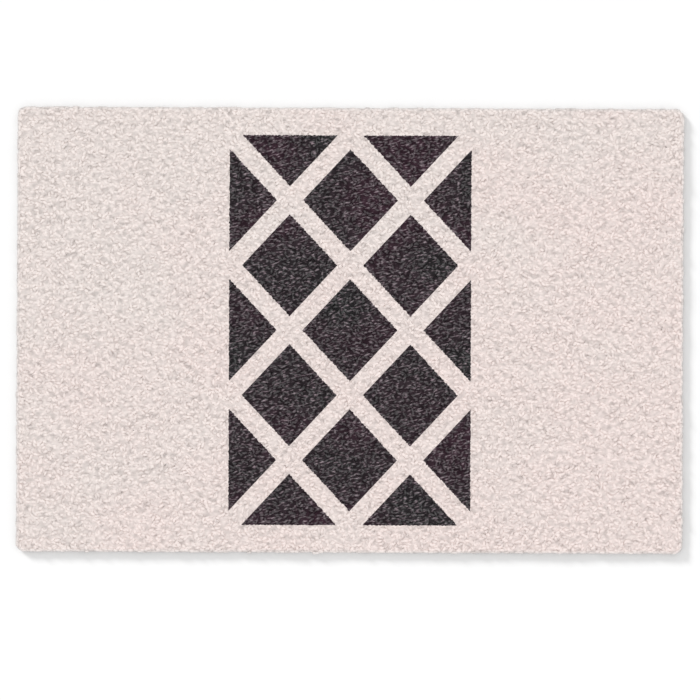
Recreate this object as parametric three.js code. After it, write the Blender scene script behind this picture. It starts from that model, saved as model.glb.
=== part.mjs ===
// A flat rectangular doormat of curled loop pile, lying on the floor.
//
// The mat is one piece: a slab as thick as the pile stands, with rounded corners, a flat sole,
// a soft crowned rim and an edge that runs a little uneven where the outer loops bulge.
//
// Millimetres, +Z up. X runs along the mat's width and Y along its depth.
// The origin is the middle of the sole, on the floor.

import * as THREE from "three";

// Driving dimensions
const MAT_WIDTH = 914;
const MAT_DEPTH = 610;
const PILE_HEIGHT = 11;
const CORNER_RADIUS = 9;

// How closely the outline is drawn
const EDGE_STEP = 10;
const CORNER_STEPS = 6;

// The rim's profile from the sole up to the pile's flat top. inset is measured in from the
// nominal edge, height is a share of the pile height, and unevenness is the share of the
// edge bulges that the section takes.
const RIM_SECTIONS = [
  { inset: 1.4, height: 0.0, unevenness: 0.4 },
  { inset: 0.3, height: 0.16, unevenness: 0.9 },
  { inset: 0.0, height: 0.46, unevenness: 1.0 },
  { inset: 0.6, height: 0.74, unevenness: 0.9 },
  { inset: 2.1, height: 0.92, unevenness: 0.6 },
  { inset: 5.2, height: 1.0, unevenness: 0.2 },
];

// The bulges of the outer loops, as waves that run round the edge. cycles counts the waves
// on the whole edge, amplitude is in millimetres and phase in turns.
const EDGE_WAVES = [
  { cycles: 29, amplitude: 0.35, phase: 0.0 },
  { cycles: 67, amplitude: 0.3, phase: 0.31 },
  { cycles: 101, amplitude: 0.25, phase: 0.72 },
];

// Finish
const PILE_COLOUR = 0xe5d8d3;
const PILE_ROUGHNESS = 0.85;

/** How far the edge bulges outwards, in millimetres, at a share (0 to 1) of the way round. */
function edgeBulge(share) {
  return EDGE_WAVES.reduce(
    (sum, wave) => sum + wave.amplitude * Math.sin(2 * Math.PI * (wave.cycles * share + wave.phase)),
    0,
  );
}

/** The outline's steps, anticlockwise from above: a point on the nominal edge and the way out. */
function nominalEdge() {
  const halfWidth = MAT_WIDTH / 2 - CORNER_RADIUS;
  const halfDepth = MAT_DEPTH / 2 - CORNER_RADIUS;
  const corners = [
    { x: halfWidth, y: -halfDepth, startAngle: -90, run: 2 * halfDepth },
    { x: halfWidth, y: halfDepth, startAngle: 0, run: 2 * halfWidth },
    { x: -halfWidth, y: halfDepth, startAngle: 90, run: 2 * halfDepth },
    { x: -halfWidth, y: -halfDepth, startAngle: 180, run: 2 * halfWidth },
  ];
  const steps = [];
  for (const corner of corners) {
    const centre = new THREE.Vector2(corner.x, corner.y);
    for (let i = 0; i <= CORNER_STEPS; i++) {
      const angle = THREE.MathUtils.degToRad(corner.startAngle + (90 * i) / CORNER_STEPS);
      const outward = new THREE.Vector2(Math.cos(angle), Math.sin(angle));
      steps.push({ point: centre.clone().addScaledVector(outward, CORNER_RADIUS), outward });
    }
    const last = steps[steps.length - 1];
    const along = new THREE.Vector2(-last.outward.y, last.outward.x);
    const runSteps = Math.round(corner.run / EDGE_STEP);
    for (let i = 1; i < runSteps; i++) {
      const point = last.point.clone().addScaledVector(along, (corner.run * i) / runSteps);
      steps.push({ point, outward: last.outward });
    }
  }
  return steps;
}

/** One closed ring of the rim, as points in the plan, for a row of RIM_SECTIONS. */
function rimRing(edge, section) {
  return edge.map(({ point, outward }, i) => {
    const offset = section.unevenness * edgeBulge(i / edge.length) - section.inset;
    return point.clone().addScaledVector(outward, offset);
  });
}

/** The closed slab: the rim's rings joined by bands of faces, with a flat cap above and below. */
function slabGeometry() {
  const edge = nominalEdge();
  const count = edge.length;
  const rings = RIM_SECTIONS.map((section) => rimRing(edge, section));
  const positions = rings.flatMap((ring, level) =>
    ring.flatMap((p) => [p.x, p.y, RIM_SECTIONS[level].height * PILE_HEIGHT]),
  );

  const faces = [];
  for (let level = 0; level + 1 < rings.length; level++) {
    for (let i = 0; i < count; i++) {
      const a = level * count + i;
      const b = level * count + ((i + 1) % count);
      faces.push(a, b, b + count, a, b + count, a + count);
    }
  }
  const top = (rings.length - 1) * count;
  for (const [a, b, c] of THREE.ShapeUtils.triangulateShape(rings[0], [])) {
    faces.push(a, c, b);
  }
  for (const [a, b, c] of THREE.ShapeUtils.triangulateShape(rings[rings.length - 1], [])) {
    faces.push(top + a, top + b, top + c);
  }

  const geometry = new THREE.BufferGeometry();
  geometry.setAttribute("position", new THREE.Float32BufferAttribute(positions, 3));
  geometry.setIndex(faces);
  return geometry;
}

/** Puts the middle of the sole at the origin, since the uneven edge shifts it a little. */
function standOnOrigin(geometry) {
  geometry.center();
  geometry.translate(0, 0, PILE_HEIGHT / 2);
  geometry.computeVertexNormals();
  return geometry;
}

const pileMaterial = new THREE.MeshStandardMaterial({
  color: PILE_COLOUR,
  roughness: PILE_ROUGHNESS,
  metalness: 0,
});

const mat = new THREE.Mesh(standOnOrigin(slabGeometry()), pileMaterial);
mat.name = "mat";

const doormat = new THREE.Group();
doormat.add(mat);

export default doormat;
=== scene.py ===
"""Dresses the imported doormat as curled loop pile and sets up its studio.

The mat's solid gives the size. A lumpy ground with a flat sole replaces it, and thousands of small curled
loops stand on that ground up to the solid's height, joined into a few lanes. A charcoal panel of plain
lozenges is dyed into the middle of the cream pile.

Metres, +Z up. X runs along the mat's width, Y along its depth, and the middle of the sole is the origin.
Angles are in degrees.
"""

import logging
import math
from dataclasses import dataclass, field
from enum import Enum
from typing import Any

import bmesh
import bpy
import numpy as np
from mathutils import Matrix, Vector, noise


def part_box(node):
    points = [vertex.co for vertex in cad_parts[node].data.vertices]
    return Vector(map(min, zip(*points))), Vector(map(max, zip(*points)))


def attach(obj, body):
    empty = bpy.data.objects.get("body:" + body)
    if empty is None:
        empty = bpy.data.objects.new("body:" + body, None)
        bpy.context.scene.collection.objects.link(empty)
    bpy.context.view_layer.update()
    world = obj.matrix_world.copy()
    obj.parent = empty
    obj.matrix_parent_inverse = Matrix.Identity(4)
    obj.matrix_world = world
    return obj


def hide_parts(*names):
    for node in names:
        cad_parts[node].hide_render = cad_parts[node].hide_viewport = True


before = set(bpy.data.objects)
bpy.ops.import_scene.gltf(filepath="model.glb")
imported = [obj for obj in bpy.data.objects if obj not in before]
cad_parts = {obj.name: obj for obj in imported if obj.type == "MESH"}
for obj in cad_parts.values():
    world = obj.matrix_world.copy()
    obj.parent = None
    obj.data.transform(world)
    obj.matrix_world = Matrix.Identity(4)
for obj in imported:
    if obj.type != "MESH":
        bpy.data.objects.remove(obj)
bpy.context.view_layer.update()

MM = 0.001
QUARTER_TURN = 90.0
SEED = 5233

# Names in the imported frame
NODE = "mat"
BODY = "root"

# The map that colours are baked through
BAKE_MAP = "OFBake"

# How much finer noise a shader's noise holds, and the range that most of its values lie in
NOISE_DETAIL = 1.0
NOISE_RANGE = (0.3, 0.7)

# Two numbers, a colour with its alpha, and what a node's input takes
Pair = tuple[float, float]
Colour = tuple[float, float, float, float]
Feed = bpy.types.NodeSocket | float | Colour

log = logging.getLogger("doormat")


class Corner(Enum):
    """The mat's corners, anticlockwise from above: the signs of X and Y, and where the arc starts."""

    FRONT_RIGHT = (1, -1, -90)
    BACK_RIGHT = (1, 1, 0)
    BACK_LEFT = (-1, 1, 90)
    FRONT_LEFT = (-1, -1, 180)


class NodeBench:
    """Adds shader nodes to one material and links them."""

    def __init__(self, name: str) -> None:
        """Makes a material that holds only an output and the place on the piece.

        Args:
            name: The material's name.
        """
        self.material = bpy.data.materials.new(name)
        self.material.use_nodes = True
        self.tree = self.material.node_tree
        self.tree.nodes.clear()
        self.output = self.add("ShaderNodeOutputMaterial")
        self.place = self.add("ShaderNodeTexCoord").outputs["Object"]

    def add(self, kind: str, **options: Any) -> bpy.types.Node:
        """Adds one node.

        Args:
            kind: The node's type.
            options: Values for the node's own settings.

        Returns:
            The new node.
        """
        node = self.tree.nodes.new(kind)
        for name, value in options.items():
            setattr(node, name, value)
        return node

    def feed(self, socket: bpy.types.NodeSocket, value: Feed) -> None:
        """Links a socket to another node's output, or sets it to a plain value.

        Args:
            socket: The input to feed.
            value: An output socket, a number or a colour.
        """
        if isinstance(value, bpy.types.NodeSocket):
            self.tree.links.new(value, socket)
        else:
            socket.default_value = value

    def math(self, operation: str, *values: Feed) -> bpy.types.NodeSocket:
        """Does one sum on numbers.

        Args:
            operation: The Math node's operation.
            values: Its inputs in order, as sockets or numbers.

        Returns:
            The result.
        """
        node = self.add("ShaderNodeMath", operation=operation)
        for socket, value in zip(node.inputs, values):
            self.feed(socket, value)
        return node.outputs[0]

    def mix(self, factor: Feed, first: Feed, second: Feed) -> bpy.types.NodeSocket:
        """Mixes two colours.

        Args:
            factor: How much of the second colour shows, from 0 to 1.
            first: The first colour.
            second: The second colour.

        Returns:
            The mixed colour.
        """
        node = self.add("ShaderNodeMix", data_type="RGBA")
        for name, value in (("Factor_Float", factor), ("A_Color", first), ("B_Color", second)):
            self.feed(next(x for x in node.inputs if x.identifier == name), value)
        return next(x for x in node.outputs if x.identifier == "Result_Color")

    def scale(self, colour: Feed, factor: Feed) -> bpy.types.NodeSocket:
        """Makes a colour lighter or darker.

        Args:
            colour: The colour.
            factor: What to multiply it by.

        Returns:
            The scaled colour.
        """
        node = self.add("ShaderNodeVectorMath", operation="SCALE")
        self.feed(node.inputs[0], colour)
        self.feed(node.inputs["Scale"], factor)
        return node.outputs[0]

    def noise(self, size: Pair, turn: float = 0.0) -> bpy.types.NodeSocket:
        """Reads a flat noise that is the same all the way down the pile.

        Args:
            size: The length and width of its patches.
            turn: The angle of the patches' length from X.

        Returns:
            The noise, about 0.5.
        """
        laid = self.add("ShaderNodeMapping", vector_type="TEXTURE")
        self.feed(laid.inputs["Vector"], self.place)
        laid.inputs["Rotation"].default_value = (0.0, 0.0, math.radians(turn))
        laid.inputs["Scale"].default_value = (*size, 1.0)
        node = self.add("ShaderNodeTexNoise", noise_dimensions="2D")
        self.feed(node.inputs["Vector"], laid.outputs[0])
        node.inputs["Scale"].default_value = 1.0
        node.inputs["Detail"].default_value = NOISE_DETAIL
        return node.outputs["Fac"]

    def streaks(self, size: float, beat: float, bias: float, turn: float) -> bpy.types.NodeSocket:
        """Reads a flat noise of short streaks that lie side by side.

        Args:
            size: The size of a group of streaks.
            beat: How many streaks lie side by side in a group.
            bias: How far the streaks keep to one way, from 0 to 1.
            turn: That way's angle from X.

        Returns:
            The noise, about 0.5.
        """
        node = self.add("ShaderNodeTexGabor", gabor_type="2D")
        self.feed(node.inputs["Vector"], self.place)
        node.inputs["Scale"].default_value = 1.0 / size
        node.inputs["Frequency"].default_value = beat
        node.inputs["Anisotropy"].default_value = bias
        # The node's own angle is the way across the streaks
        node.inputs["Orientation"].default_value = math.radians(QUARTER_TURN + turn)
        return node.outputs["Value"]

    def spread(
        self, value: Feed, low: float, high: float, results: Pair = (0.0, 1.0)
    ) -> bpy.types.NodeSocket:
        """Maps a range of numbers to another, and holds the result to it.

        Args:
            value: The number to map.
            low: The input that gives the first result.
            high: The input that gives the second result.
            results: The results at low and at high.

        Returns:
            The mapped number.
        """
        node = self.add("ShaderNodeMapRange")
        for socket, number in zip(node.inputs, (value, low, high, *results)):
            self.feed(socket, number)
        return node.outputs[0]

    def around(self, value: Feed, middle: float, reach: float) -> bpy.types.NodeSocket:
        """Spreads a noise about a middle value.

        Args:
            value: The noise, about 0.5.
            middle: The result where the noise is 0.5.
            reach: How far the result goes to either side.

        Returns:
            The spread number.
        """
        return self.spread(value, *NOISE_RANGE, (middle - reach, middle + reach))


@dataclass(frozen=True)
class Outline:
    """The mat's plan: a rectangle with rounded corners, centred on the origin."""

    half_width: float
    half_depth: float
    corner_radius: float
    corner_steps: int = 8

    def distance(self, x: np.ndarray, y: np.ndarray) -> np.ndarray:
        """Measures how far points are outside the outline.

        Args:
            x: The points' places along the width.
            y: Their places along the depth.

        Returns:
            The distances, below 0 inside.
        """
        past_x = np.abs(x) - (self.half_width - self.corner_radius)
        past_y = np.abs(y) - (self.half_depth - self.corner_radius)
        corner = np.hypot(np.maximum(past_x, 0), np.maximum(past_y, 0))
        return corner + np.minimum(np.maximum(past_x, past_y), 0) - self.corner_radius

    def walk(self, count: int) -> tuple[np.ndarray, np.ndarray]:
        """Steps evenly round the edge, anticlockwise from above.

        Args:
            count: The number of steps.

        Returns:
            The points on the edge and the ways out from them, each with a row of X and Y for every step.
        """
        points, ways = [], []
        for corner in Corner:
            sign_x, sign_y, start = corner.value
            middle = np.array((
                sign_x * (self.half_width - self.corner_radius),
                sign_y * (self.half_depth - self.corner_radius),
            ))
            for angle in np.radians(np.linspace(start, start + QUARTER_TURN, self.corner_steps)):
                way = np.array((math.cos(angle), math.sin(angle)))
                points.append(middle + self.corner_radius * way)
                ways.append(way)
        points = np.array(points + points[:1])
        ways = np.array(ways + ways[:1])
        along = np.concatenate(([0.0], np.cumsum(np.linalg.norm(np.diff(points, axis=0), axis=1))))
        stops = np.arange(count) * along[-1] / count
        spots = np.stack([np.interp(stops, along, column) for column in points.T], 1)
        outward = np.stack([np.interp(stops, along, column) for column in ways.T], 1)
        return spots, outward / np.linalg.norm(outward, axis=1, keepdims=True)


@dataclass(frozen=True)
class LozengePanel:
    """The charcoal panel in the middle of the mat: plain lozenges with cream lines between them."""

    width: float = 332 * MM
    depth: float = 535 * MM
    columns: int = 2
    rows: int = 3
    line: float = 26 * MM

    def mask(self, bench: NodeBench, x: Feed, y: Feed) -> bpy.types.NodeSocket:
        """Says where the dye is.

        Args:
            bench: The material's nodes.
            x: The place along the mat's width.
            y: The place along its depth.

        Returns:
            1 on a lozenge, and 0 elsewhere.
        """
        pitch_x = self.width / self.columns
        pitch_y = self.depth / self.rows
        pitch_across = pitch_x * pitch_y / math.hypot(pitch_x, pitch_y)
        half_pitch = 0.5
        reach = half_pitch * (1.0 - self.line / pitch_across)
        a = bench.math("DIVIDE", x, pitch_x)
        b = bench.math("DIVIDE", y, pitch_y)
        inside = []
        for slant in ("ADD", "SUBTRACT"):
            off_middle = bench.math("PINGPONG", bench.math(slant, a, b), half_pitch)
            inside.append(bench.math("LESS_THAN", off_middle, reach))
        for place, side in ((x, self.width), (y, self.depth)):
            inside.append(bench.math("LESS_THAN", bench.math("ABSOLUTE", place), side / 2))
        result = inside[0]
        for test in inside[1:]:
            result = bench.math("MULTIPLY", result, test)
        return result


@dataclass(frozen=True)
class PileFinish:
    """Cream strands with short streaks of painted shade, for the gaps between clumps of loops, and a dyed
    charcoal panel, alike all the way down the pile.
    """

    panel: LozengePanel
    outline: Outline
    name: str = "curled_pile"
    # A factor on the cream all over; the ground's factor below 1 is painted shade
    shade: float = 1.0

    # Undyed strands
    cream_cool: Colour = (0.777, 0.704, 0.674, 1.0)
    cream_warm: Colour = (0.795, 0.694, 0.666, 1.0)
    # A greyer, darker cream: painted shade along the rim, where the pile rounds off
    painted_rim_shade: Colour = (0.703, 0.657, 0.636, 1.0)
    cream_tone: float = 0.02
    warmth_middle: float = 0.55
    warmth_drift: Pair = (0.45, -0.45)
    warmth_patches: float = 0.4
    patch_size: Pair = (140 * MM, 110 * MM)
    strand_size: Pair = (6 * MM, 4 * MM)
    # Short streaks of painted shade that stand in for the gaps between clumps of loops
    streak_size: float = 10 * MM
    streak_beat: float = 0.75
    streak_bias: float = 0.34
    streak_turn: float = -2.0
    streak_range: Pair = (0.22, 0.55)
    streak_shade: float = 0.228
    rim_shade_band: float = 5 * MM

    # Dyed strands
    charcoal_warm: Colour = (0.031, 0.0165, 0.023, 1.0)
    charcoal_cool: Colour = (0.0205, 0.0195, 0.0205, 1.0)
    # Pale flecks painted on the dyed strands as highlights: glints on the loops' crests
    charcoal_glint: Colour = (0.222, 0.174, 0.194, 1.0)
    glint_fleck_size: Pair = (7 * MM, 2.3 * MM)
    glint_fleck_turn: float = 14.0
    glint_fleck_range: Pair = (0.56, 0.8)
    dye_size: Pair = (14 * MM, 11 * MM)
    dye_tone: float = 0.3
    wobble_size: Pair = (3 * MM, 3 * MM)
    print_wobble: float = 0.5 * MM

    # Gloss on undyed and on dyed strands
    roughness: float = 0.28
    roughness_spread: float = 0.08
    gloss: Pair = (0.25, 0.5)

    def material(self) -> bpy.types.Material:
        """Makes the material.

        Returns:
            The pile's material.
        """
        bench = NodeBench(self.name)
        split = bench.add("ShaderNodeSeparateXYZ")
        bench.feed(split.inputs[0], bench.place)
        x, y = split.outputs[0], split.outputs[1]
        patches = bench.noise(self.patch_size)
        strands = bench.noise(self.strand_size)

        wobble = bench.around(bench.noise(self.wobble_size), 0.0, self.print_wobble)
        dyed = self.panel.mask(bench, bench.math("ADD", x, wobble), bench.math("ADD", y, wobble))
        cream = self.cream(bench, x, y, patches, strands)
        colour = bench.mix(dyed, cream, self.charcoal(bench, patches))

        shader = bench.add("ShaderNodeBsdfPrincipled")
        bench.feed(shader.inputs["Base Color"], colour)
        bench.feed(shader.inputs["Roughness"], bench.around(strands, self.roughness, self.roughness_spread))
        bench.feed(shader.inputs["Specular IOR Level"], bench.spread(dyed, 0.0, 1.0, self.gloss))
        bench.feed(bench.output.inputs["Surface"], shader.outputs[0])
        return bench.material

    def cream(self, bench: NodeBench, x: Feed, y: Feed, patches: Feed, strands: Feed) -> bpy.types.NodeSocket:
        """Gives the undyed strands' colour.

        Args:
            bench: The material's nodes.
            x: The place along the mat's width.
            y: The place along its depth.
            patches: The noise of the colour's patches.
            strands: The noise that sets strands apart.

        Returns:
            The colour.
        """
        warmth = bench.around(patches, self.warmth_middle, self.warmth_patches)
        halves = (self.outline.half_width, self.outline.half_depth)
        for place, half, drift in zip((x, y), halves, self.warmth_drift):
            warmth = bench.math("ADD", warmth, bench.math("MULTIPLY", place, drift / half))
        colour = bench.mix(bench.spread(warmth, 0.0, 1.0), self.cream_cool, self.cream_warm)
        # The outermost loops take painted shade along the rim
        colour = bench.mix(self.rim_shade_share(bench, x, y), colour, self.painted_rim_shade)
        tone = bench.around(strands, self.shade, self.cream_tone)
        # Painted shade: the streaks darken the cream
        streaks = bench.streaks(self.streak_size, self.streak_beat, self.streak_bias, self.streak_turn)
        streak_shading = bench.spread(streaks, *self.streak_range, (1.0 - self.streak_shade, 1.0))
        return bench.scale(colour, bench.math("MULTIPLY", tone, streak_shading))

    def charcoal(self, bench: NodeBench, patches: Feed) -> bpy.types.NodeSocket:
        """Gives the dyed strands' colour, with short pale flecks of painted highlight, standing in for glints
        on the loops' crests.

        Args:
            bench: The material's nodes.
            patches: The noise of the colour's patches.

        Returns:
            The colour.
        """
        deep = bench.mix(bench.spread(patches, *NOISE_RANGE), self.charcoal_warm, self.charcoal_cool)
        # Painted highlight: pale flecks for the glints on the dyed loops
        glint_flecks = bench.noise(self.glint_fleck_size, self.glint_fleck_turn)
        colour = bench.mix(bench.spread(glint_flecks, *self.glint_fleck_range), deep, self.charcoal_glint)
        return bench.scale(colour, bench.around(bench.noise(self.dye_size), 1.0, self.dye_tone))

    def rim_shade_share(self, bench: NodeBench, x: Feed, y: Feed) -> bpy.types.NodeSocket:
        """Says how much of the greyer, darker tone, painted shade along the rim, the outermost loops take.

        Args:
            bench: The material's nodes.
            x: The place along the mat's width.
            y: The place along its depth.

        Returns:
            1 at the edge, and 0 further in than the edge band.
        """
        radius = self.outline.corner_radius
        past = [
            bench.math("SUBTRACT", bench.math("ABSOLUTE", place), half - radius)
            for place, half in ((x, self.outline.half_width), (y, self.outline.half_depth))
        ]
        legs = [bench.math("POWER", bench.math("MAXIMUM", leg, 0.0), 2.0) for leg in past]
        corner = bench.math("SQRT", bench.math("ADD", *legs))
        side = bench.math("MINIMUM", bench.math("MAXIMUM", *past), 0.0)
        return bench.spread(bench.math("ADD", corner, side), radius - self.rim_shade_band, radius)


@dataclass(frozen=True)
class FloorFinish:
    """A plain pale floor with a faint unevenness."""

    pale: Colour = (0.785, 0.785, 0.785, 1.0)
    paler: Colour = (0.795, 0.795, 0.795, 1.0)
    patch_size: Pair = (0.8, 0.8)
    roughness: float = 0.9
    gloss: float = 0.0

    def material(self) -> bpy.types.Material:
        """Makes the material.

        Returns:
            The floor's material.
        """
        bench = NodeBench("pale_floor")
        shader = bench.add("ShaderNodeBsdfPrincipled")
        colour = bench.mix(bench.noise(self.patch_size), self.pale, self.paler)
        bench.feed(shader.inputs["Base Color"], colour)
        shader.inputs["Roughness"].default_value = self.roughness
        shader.inputs["Specular IOR Level"].default_value = self.gloss
        bench.feed(bench.output.inputs["Surface"], shader.outputs[0])
        return bench.material


@dataclass
class Curls:
    """Many loops of strand, one row each: an arch between two feet, bent sideways so that it curls.

    A strand has a few sides and segments and is a little flat. The crown is the power that makes the arch
    fuller than a sine. The first corner lies on top, a share of a turn round from the sideways axis. No point
    lies lower than the floor gap.
    """

    middle: np.ndarray
    along: np.ndarray
    rise: np.ndarray
    span: np.ndarray
    height: np.ndarray
    lean: np.ndarray
    bow: np.ndarray
    radius: np.ndarray

    SIDES = 5
    SEGMENTS = 4
    FLATNESS = 0.85
    CROWN = 0.55
    FIRST_CORNER = 0.25
    FLOOR_GAP = 0.1 * MM

    def centrelines(self) -> np.ndarray:
        """Works out the points that the strands follow.

        Returns:
            The points, by loop, step and axis.
        """
        share = np.linspace(0.0, 1.0, self.SEGMENTS + 1)[None, :, None]
        arch = np.sin(math.pi * share)
        crown = arch ** self.CROWN
        side = np.cross(self.rise, self.along)
        stride = -0.5 * self.span[:, None, None] * np.cos(math.pi * share)
        sideways = self.lean[:, None, None] * arch + self.bow[:, None, None] * np.sin(2 * math.pi * share)
        return (
            self.middle[:, None, :]
            + self.along[:, None, :] * stride
            + self.rise[:, None, :] * self.height[:, None, None] * crown
            + side[:, None, :] * sideways
        )

    def chosen(self, keep: np.ndarray) -> "Curls":
        """Takes the loops that a mask keeps."""
        return Curls(*(column[keep] for column in vars(self).values()))

    def joined(self, other: "Curls") -> "Curls":
        """Puts two sets of loops together."""
        return Curls(*(np.concatenate(pair) for pair in zip(vars(self).values(), vars(other).values())))

    def mesh(self, name: str) -> bpy.types.Mesh:
        """Makes the loops one mesh of closed tubes with pointed feet.

        Args:
            name: The mesh's name.

        Returns:
            The mesh.
        """
        lines = self.centrelines()
        count, rings = len(lines), self.SEGMENTS - 1
        heading = lines[:, 2:] - lines[:, :-2]
        heading /= np.linalg.norm(heading, axis=2, keepdims=True)
        side = np.cross(self.rise, self.along)[:, None, :]
        across = side - heading * (side * heading).sum(2, keepdims=True)
        across /= np.linalg.norm(across, axis=2, keepdims=True)
        outward = np.cross(heading, across)
        angles = 2 * math.pi * (np.arange(self.SIDES) / self.SIDES + self.FIRST_CORNER)
        girth = self.radius[:, None, None, None]
        tube = lines[:, 1:-1, None, :] + girth * (
            across[:, :, None, :] * np.cos(angles)[None, None, :, None]
            + outward[:, :, None, :] * self.FLATNESS * np.sin(angles)[None, None, :, None]
        )
        body = tube.reshape(count, rings * self.SIDES, 3)
        vertices = np.concatenate((body, lines[:, :1], lines[:, -1:]), 1)
        vertices[..., 2] = np.maximum(vertices[..., 2], self.FLOOR_GAP)

        quads, ends = self.faces(rings)
        first = (np.arange(count) * vertices.shape[1])[:, None, None]
        faces = (first + quads).reshape(-1, 4).tolist() + (first + ends).reshape(-1, 3).tolist()
        mesh = bpy.data.meshes.new(name)
        mesh.from_pydata(vertices.reshape(-1, 3).tolist(), [], faces)
        mesh.shade_smooth()
        return mesh

    def faces(self, rings: int) -> tuple[np.ndarray, np.ndarray]:
        """Lists one loop's faces.

        Args:
            rings: The number of rings of points along the tube.

        Returns:
            The quads between rings, and the triangles that close the two feet.
        """
        turn = np.arange(self.SIDES)
        after = (turn + 1) % self.SIDES
        quads = [
            np.stack((low + turn, low + after, low + self.SIDES + after, low + self.SIDES + turn), 1)
            for low in self.SIDES * np.arange(rings - 1)
        ]
        start = rings * self.SIDES
        last = start - self.SIDES
        ends = [
            np.stack((after, turn, np.full_like(turn, start)), 1),
            np.stack((last + turn, last + after, np.full_like(turn, start + 1)), 1),
        ]
        return np.concatenate(quads), np.concatenate(ends)


def lay_plan_map(mesh: bpy.types.Mesh) -> None:
    """Gives a mesh the map that its colours are baked through: its plan, since they go straight down.

    Args:
        mesh: The mesh to map.
    """
    places = np.empty(len(mesh.vertices) * 3)
    mesh.vertices.foreach_get("co", places)
    plan = places.reshape(-1, 3)[:, :2]
    plan = (plan - plan.min(0)) / np.ptp(plan, axis=0)
    corners = np.empty(len(mesh.loops), np.int32)
    mesh.loops.foreach_get("vertex_index", corners)
    layer = mesh.uv_layers.new(name=BAKE_MAP)
    layer.uv.foreach_set("vector", plan[corners].ravel())


def put_on_mat(mesh: bpy.types.Mesh, material: bpy.types.Material) -> bpy.types.Object:
    """Makes a mesh a piece of the mat.

    Args:
        mesh: The piece's mesh.
        material: Its finish.

    Returns:
        The piece.
    """
    mesh.materials.append(material)
    lay_plan_map(mesh)
    piece = bpy.data.objects.new(mesh.name, mesh)
    bpy.context.scene.collection.objects.link(piece)
    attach(piece, BODY)
    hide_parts(NODE)
    return piece


@dataclass
class Ground:
    """The close lower pile that the loops stand in: a lumpy sheet with a flat sole."""

    outline: Outline
    top: float = 8.4 * MM
    grid_step: float = 3 * MM
    lump_size: float = 5 * MM
    lump_height: float = 1.2 * MM
    sole_inset: float = 0.8 * MM

    def height(self, place: Vector) -> float:
        """Gives the lumpy top's height at a place."""
        return self.top + self.lump_height * noise.noise(place / self.lump_size)

    def mesh(self) -> bpy.types.Mesh:
        """Makes the closed sheet.

        Returns:
            The mesh.
        """
        shape = bmesh.new()
        half = Vector((self.outline.half_width, self.outline.half_depth, 1.0))
        bmesh.ops.create_grid(
            shape,
            x_segments=round(2 * half.x / self.grid_step),
            y_segments=round(2 * half.y / self.grid_step),
            size=1.0,
        )
        bmesh.ops.scale(shape, vec=half, verts=shape.verts)
        for vertex in shape.verts:
            self.round_corner(vertex.co)
            vertex.co.z = self.height(vertex.co)
        rim = [edge for edge in shape.edges if edge.is_boundary]
        wall = bmesh.ops.extrude_edge_only(shape, edges=rim)["geom"]
        foot = [item for item in wall if isinstance(item, bmesh.types.BMVert)]
        inset = Vector((1 - self.sole_inset / half.x, 1 - self.sole_inset / half.y, 0.0))
        bmesh.ops.scale(shape, vec=inset, verts=foot)
        sole_edges = [item for item in wall if isinstance(item, bmesh.types.BMEdge)]
        bmesh.ops.edgeloop_fill(shape, edges=[edge for edge in sole_edges if edge.is_boundary])
        bmesh.ops.recalc_face_normals(shape, faces=shape.faces)
        mesh = bpy.data.meshes.new("ground")
        shape.to_mesh(mesh)
        shape.free()
        mesh.shade_smooth()
        return mesh

    def round_corner(self, place: Vector) -> None:
        """Draws a point in to the rounded corner's arc if it lies outside it.

        Args:
            place: The point, which is moved.
        """
        radius = self.outline.corner_radius
        past = Vector((
            abs(place.x) - (self.outline.half_width - radius),
            abs(place.y) - (self.outline.half_depth - radius),
        ))
        if min(past) <= 0 or past.length <= radius:
            return
        drawn = past * (radius / past.length)
        place.x -= math.copysign(past.x - drawn.x, place.x)
        place.y -= math.copysign(past.y - drawn.y, place.y)


@dataclass(frozen=True)
class RimRow:
    """One row of loops round the rim: how far in and how high it stands, and how far it leans out."""

    inset: float
    level: float
    lean_out: float
    inset_spread: float = 0.6 * MM
    level_spread: float = 0.4 * MM
    lean_out_spread: float = 9.0
    turn_spread: float = 12.0
    pitch: float = 6.6 * MM
    span: Pair = (6.5 * MM, 11 * MM)
    height: float = 1.3 * MM
    height_share: Pair = (0.75, 1.1)
    lean: float = 0.8 * MM


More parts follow.
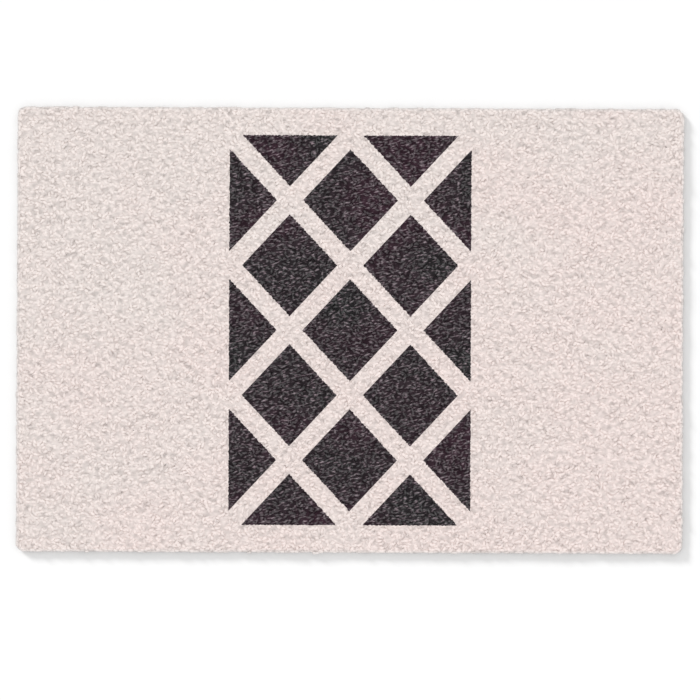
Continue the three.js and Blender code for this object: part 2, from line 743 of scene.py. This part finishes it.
@dataclass
class CurledPile:
    """The loops that stand on the ground, as joined lanes that run along the mat's width.

    The loops start from a grid whose every other row is staggered, and stray from it. Jitter and stagger
    are shares of the spacing.
    """

    outline: Outline
    top: float
    foot: float = 5.6 * MM
    lanes: int = 5
    spacing_x: float = 6.6 * MM
    spacing_y: float = 5.4 * MM
    stagger: float = 0.5
    jitter: float = 0.5
    span: Pair = (5 * MM, 9 * MM)
    drop: float = 1.6 * MM
    lean: float = 2.4 * MM
    bow: float = 1.2 * MM
    radius: Pair = (2.15 * MM, 2.65 * MM)
    heading: float = 4.0
    heading_spread: float = 38.0
    side_band: float = 6 * MM
    overhang: float = 0.2 * MM
    rim_rows: tuple[RimRow, ...] = (
        RimRow(inset=3.9 * MM, level=2.0 * MM, lean_out=90.0),
        RimRow(inset=3.9 * MM, level=4.4 * MM, lean_out=90.0),
        RimRow(inset=3.9 * MM, level=6.6 * MM, lean_out=86.0),
    )
    rng: np.random.Generator = field(default_factory=lambda: np.random.default_rng(SEED))

    def field_loops(self) -> Curls:
        """Scatters the loops over the mat, and turns those at the short sides to lie along them.

        Returns:
            The loops that lie inside the outline.
        """
        half_x, half_y = self.outline.half_width, self.outline.half_depth
        columns = round(2 * half_x / self.spacing_x)
        rows = round(2 * half_y / self.spacing_y)
        count = columns * rows
        column, row = (grid.ravel() for grid in np.meshgrid(np.arange(columns), np.arange(rows)))
        jitter = self.rng.uniform(-self.jitter, self.jitter, (2, count))
        x = (column + 0.5 + self.stagger * (row % 2) + jitter[0]) * 2 * half_x / columns - half_x
        y = (row + 0.5 + jitter[1]) * 2 * half_y / rows - half_y

        along_side = np.where(half_x - np.abs(x) < self.side_band, QUARTER_TURN, 0.0)
        heading = np.radians(self.rng.normal(self.heading, self.heading_spread, count) + along_side)
        span = self.rng.uniform(*self.span, count)
        lean = self.rng.normal(0.0, self.lean, count)
        radius = self.rng.uniform(*self.radius, count)
        drop = self.rng.uniform(0.0, self.drop, count)
        reach_x = span / 2 * np.abs(np.cos(heading)) + np.abs(lean * np.sin(heading)) + radius
        reach_y = span / 2 * np.abs(np.sin(heading)) + np.abs(lean * np.cos(heading)) + radius
        x = np.clip(x, reach_x - half_x, half_x - reach_x)
        y = np.clip(y, reach_y - half_y, half_y - reach_y)
        flat = np.zeros(count)
        loops = Curls(
            middle=np.stack((x, y, np.full(count, self.foot)), 1),
            along=np.stack((np.cos(heading), np.sin(heading), flat), 1),
            rise=np.stack((flat, flat, flat + 1), 1),
            span=span,
            height=self.top - drop - Curls.FLATNESS * radius - self.foot,
            lean=lean,
            bow=self.rng.normal(0.0, self.bow, count),
            radius=radius,
        )
        lines = loops.centrelines()
        out = self.outline.distance(lines[:, :, 0], lines[:, :, 1]).max(1) + radius
        return loops.chosen(out < self.overhang)

    def rim_loops(self, row: RimRow) -> Curls:
        """Sets one row of loops round the rim, leaning outwards.

        Args:
            row: The row's sizes.

        Returns:
            The row's loops.
        """
        edge = 4 * (self.outline.half_width + self.outline.half_depth)
        count = round(edge / row.pitch)
        spots, outward = self.outline.walk(count)
        inset = row.inset + self.rng.normal(0.0, row.inset_spread, count)
        spots = spots - outward * inset[:, None]
        level = row.level + self.rng.uniform(-row.level_spread, row.level_spread, count)
        lean_out = np.radians(self.rng.normal(row.lean_out, row.lean_out_spread, count))
        turn = np.radians(self.rng.normal(0.0, row.turn_spread, count))
        tangent = np.stack((-outward[:, 1], outward[:, 0]), 1)
        along = np.column_stack((tangent * np.cos(turn)[:, None], np.sin(turn)))
        rise = np.column_stack((outward * np.sin(lean_out)[:, None], np.cos(lean_out)))
        rise -= along * (rise * along).sum(1, keepdims=True)
        rise /= np.linalg.norm(rise, axis=1, keepdims=True)
        return Curls(
            middle=np.column_stack((spots, level)),
            along=along,
            rise=rise,
            span=self.rng.uniform(*row.span, count),
            height=row.height * self.rng.uniform(*row.height_share, count),
            lean=self.rng.normal(0.0, row.lean, count),
            bow=np.zeros(count),
            radius=self.rng.uniform(*self.radius, count),
        )

    def build(self, material: bpy.types.Material) -> list[bpy.types.Object]:
        """Makes the lanes.

        Args:
            material: The pile's finish.

        Returns:
            The pieces, from the front of the mat to its back.
        """
        loops = self.field_loops()
        for row in self.rim_rows:
            loops = loops.joined(self.rim_loops(row))
        from_front = loops.middle[:, 1] / (2 * self.outline.half_depth) + 0.5
        lane = np.floor(from_front * self.lanes).clip(0, self.lanes - 1)
        return [
            put_on_mat(loops.chosen(lane == number).mesh(f"loops_{number + 1}"), material)
            for number in range(self.lanes)
        ]


@dataclass
class Doormat:
    """The whole mat: the ground, which lies a little inside the edge, and the loops that stand in it."""

    half_width: float
    half_depth: float
    top: float
    corner_radius: float = 12 * MM
    ground_inset: float = 2.6 * MM
    ground_corner_radius: float = 9 * MM
    # The ground's finish is the pile's, darkened all over: painted shade for the gaps between the loops
    ground_painted_shade: float = 0.85
    ground_tone: float = 0.08
    ground_gloss: Pair = (0.0, 0.0)

    def build(self) -> list[bpy.types.Object]:
        """Returns:
            The pieces, with the ground first.
        """
        panel = LozengePanel()
        outline = Outline(self.half_width, self.half_depth, self.corner_radius)
        finish = PileFinish(panel, outline).material()
        # The ground takes a darker copy of the pile's finish: painted shade between the loops
        deep = PileFinish(
            panel,
            outline,
            name="shaded_deep_pile",
            shade=self.ground_painted_shade,
            cream_tone=self.ground_tone,
            gloss=self.ground_gloss,
        ).material()
        ground = Ground(Outline(
            self.half_width - self.ground_inset,
            self.half_depth - self.ground_inset,
            self.ground_corner_radius,
        ))
        sheet = put_on_mat(ground.mesh(), deep)
        loops = CurledPile(outline, self.top).build(finish)
        return [sheet, *loops]


@dataclass
class Studio:
    """The pale floor, the lights and the camera straight above the mat.

    A white dome lights everything, a wide softbox overhead lights only the mat, and a key from the upper left
    lights only the floor, where it throws the mat's shadow.
    """

    image_px: int = 700
    frame_width: float = 0.9603
    mat_middle_px: Pair = (349.9, 330.35)
    lens: float = 200.0
    roll: float = 0.23
    floor_side: float = 60.0
    dome: float = 1.0
    key: float = 2.35
    key_elevation: float = 23.4
    key_azimuth: float = 135.0
    key_angle: float = 14.0
    softbox: float = 0.8
    softbox_angle: float = 55.0

    def build_floor(self) -> bpy.types.Object:
        """Makes the floor.

        Returns:
            The floor.
        """
        shape = bmesh.new()
        bmesh.ops.create_grid(shape, x_segments=2, y_segments=2, size=self.floor_side / 2)
        mesh = bpy.data.meshes.new("floor")
        shape.to_mesh(mesh)
        shape.free()
        mesh.materials.append(FloorFinish().material())
        floor = bpy.data.objects.new("floor", mesh)
        bpy.context.scene.collection.objects.link(floor)
        return floor

    def build_lights(self, floor: bpy.types.Object, mat: list[bpy.types.Object]) -> None:
        """Makes the dome, the softbox and the key.

        Args:
            floor: The floor, which alone takes the key's light.
            mat: The mat's pieces, which alone take the softbox's light.
        """
        world = bpy.data.worlds.new("dome")
        world.use_nodes = True
        background = world.node_tree.nodes["Background"]
        background.inputs["Color"].default_value = (1.0, 1.0, 1.0, 1.0)
        background.inputs["Strength"].default_value = self.dome
        bpy.context.scene.world = world

        overhead = Vector((0.0, 0.0, 1.0))
        self.build_sun("softbox", self.softbox, self.softbox_angle, overhead, mat)
        elevation, azimuth = math.radians(self.key_elevation), math.radians(self.key_azimuth)
        towards = Vector((
            math.cos(azimuth) * math.cos(elevation),
            math.sin(azimuth) * math.cos(elevation),
            math.sin(elevation),
        ))
        self.build_sun("key", self.key, self.key_angle, towards, [floor])

    def build_sun(
        self, name: str, energy: float, angle: float, towards: Vector, lights: list[bpy.types.Object]
    ) -> None:
        """Makes one far, soft light.

        Args:
            name: The light's name.
            energy: Its strength.
            angle: How wide it looks from the mat.
            towards: The way to it from the mat.
            lights: The objects that it lights.
        """
        lamp = bpy.data.lights.new(name, "SUN")
        lamp.energy = energy
        lamp.angle = math.radians(angle)
        sun = bpy.data.objects.new(name, lamp)
        sun.rotation_euler = towards.to_track_quat("Z", "Y").to_euler()
        bpy.context.scene.collection.objects.link(sun)
        lit = bpy.data.collections.new(f"lit_by_{name}")
        for thing in lights:
            lit.objects.link(thing)
        sun.light_linking.receiver_collection = lit

    def build_camera(self, pile_top: float) -> None:
        """Makes the camera, which looks straight down with a slight roll, and leaves the colours plain.

        Args:
            pile_top: The height where the frame has its width.
        """
        data = bpy.data.cameras.new("camera")
        data.lens = self.lens
        camera = bpy.data.objects.new("camera", data)
        scale = self.frame_width / self.image_px
        middle = self.image_px / 2
        camera.location = (
            (middle - self.mat_middle_px[0]) * scale,
            (self.mat_middle_px[1] - middle) * scale,
            pile_top + self.frame_width * self.lens / data.sensor_width,
        )
        camera.rotation_euler.z = math.radians(self.roll)
        bpy.context.scene.collection.objects.link(camera)
        bpy.context.scene.camera = camera
        bpy.context.scene.view_settings.view_transform = "Standard"


def main() -> None:
    """Builds the studio and the mat, and reports each piece."""
    logging.basicConfig(level=logging.INFO, format="%(name)s: %(message)s")
    low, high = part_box(NODE)
    studio = Studio()
    floor = studio.build_floor()
    studio.build_camera(high.z)
    mat = Doormat(half_width=(high.x - low.x) / 2, half_depth=(high.y - low.y) / 2, top=high.z)
    pieces = mat.build()
    studio.build_lights(floor, pieces)
    for piece in pieces:
        log.info("%s: %d faces", piece.name, len(piece.data.polygons))


if __name__ == "__main__":
    main()
